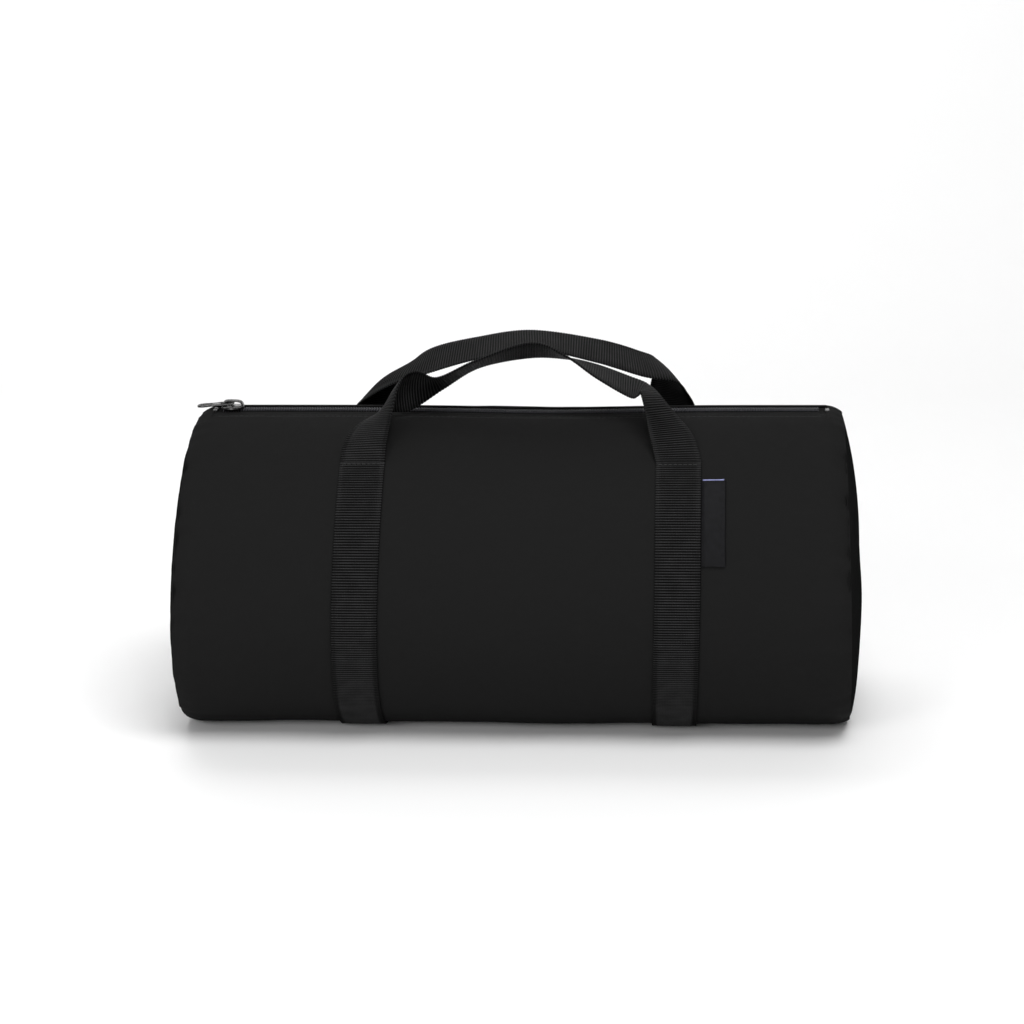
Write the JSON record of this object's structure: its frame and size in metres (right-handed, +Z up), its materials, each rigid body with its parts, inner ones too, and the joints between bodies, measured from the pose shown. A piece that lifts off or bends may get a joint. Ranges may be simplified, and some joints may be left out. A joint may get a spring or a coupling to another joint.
{
  "type": "barrel duffel bag",
  "caption": "Small barrel duffel bag with a full-length top zip, webbing straps round the body and webbing grab handles.",
  "frame": {"origin": "on the resting surface, under the middle of the bag's bounding box", "axes": "+X along the bag towards the end where the zip is fully open, -Y towards the side with the label, +Z up"},
  "size_m": [0.382, 0.183, 0.2184],
  "materials": {
    "body_fabric": "black plain-weave nylon with a low sheen",
    "webbing": "black ribbed polyester webbing, matt",
    "zip_tape": "black woven tape and binding",
    "coil": "black nylon monofilament, satin",
    "thread": "black sewing thread",
    "label": "black satin ribbon with a pale line along its top fold",
    "gunmetal": "dark nickel plating, glossy",
    "spring_steel": "bright spring steel"
  },
  "bodies": {
    "shell": {"main_panel": "body_fabric", "left_end_panel": "body_fabric", "right_end_panel": "body_fabric", "left_seam_binding": "zip_tape", "right_seam_binding": "zip_tape", "left_zip_tab": "body_fabric", "right_zip_tab": "body_fabric", "zip_top_stops": "gunmetal", "zip_bottom_stop": "gunmetal", "left_strap": "webbing", "right_strap": "webbing"},
    "front_lip": {"front_panel": "body_fabric", "front_zip_tape": "zip_tape", "front_zip_coil": "coil", "front_left_strap_top": "webbing", "front_right_strap_top": "webbing", "front_bartacks": "thread", "side_label": "label"},
    "rear_lip": {"rear_panel": "body_fabric", "rear_zip_tape": "zip_tape", "rear_zip_coil": "coil", "rear_left_strap_top": "webbing", "rear_right_strap_top": "webbing", "rear_bartacks": "thread"},
    "slider": {"slider_body": "gunmetal", "slider_cap": "gunmetal", "lock_spring": "spring_steel"},
    "pull": {"pull_tab": "gunmetal"},
    "front_grip": {"front_handle": "webbing"},
    "rear_grip": {"rear_handle": "webbing"}
  },
  "joints": [
    {"name": "zip_slide", "type": "slide", "parent": "shell", "child": "slider", "axis": [1, 0, 0], "range_m": [0, 0.318]},
    {"name": "front_mouth", "type": "hinge", "parent": "shell", "child": "front_lip", "pos_m": [0, -0.08803, 0.10421], "axis": [1, 0, 0], "range_deg": [0, 22], "deforming": ["front_zip_coil", "front_zip_tape"]},
    {"name": "rear_mouth", "type": "hinge", "parent": "shell", "child": "rear_lip", "pos_m": [0, 0.08803, 0.10421], "axis": [-1, 0, 0], "range_deg": [0, 22], "deforming": ["rear_zip_coil", "rear_zip_tape"]},
    {"name": "pull_swing", "type": "hinge", "parent": "slider", "child": "pull", "pos_m": [-0.1615, 0, 0.17885], "axis": [0, 1, 0], "range_deg": [0, 172]},
    {"name": "front_handle_drop", "type": "hinge", "parent": "front_lip", "child": "front_grip", "pos_m": [0, -0.0572, 0.1587], "axis": [1, 0, 0], "range_deg": [0, 155]},
    {"name": "rear_handle_drop", "type": "hinge", "parent": "rear_lip", "child": "rear_grip", "pos_m": [0, 0.0572, 0.1587], "axis": [-1, 0, 0], "range_deg": [0, 155]}
  ],
  "couplings": [
    {"joint": "front_mouth", "follows": "zip_slide", "rad_per_m": 1.2},
    {"joint": "rear_mouth", "follows": "zip_slide", "rad_per_m": 1.2}
  ]
}
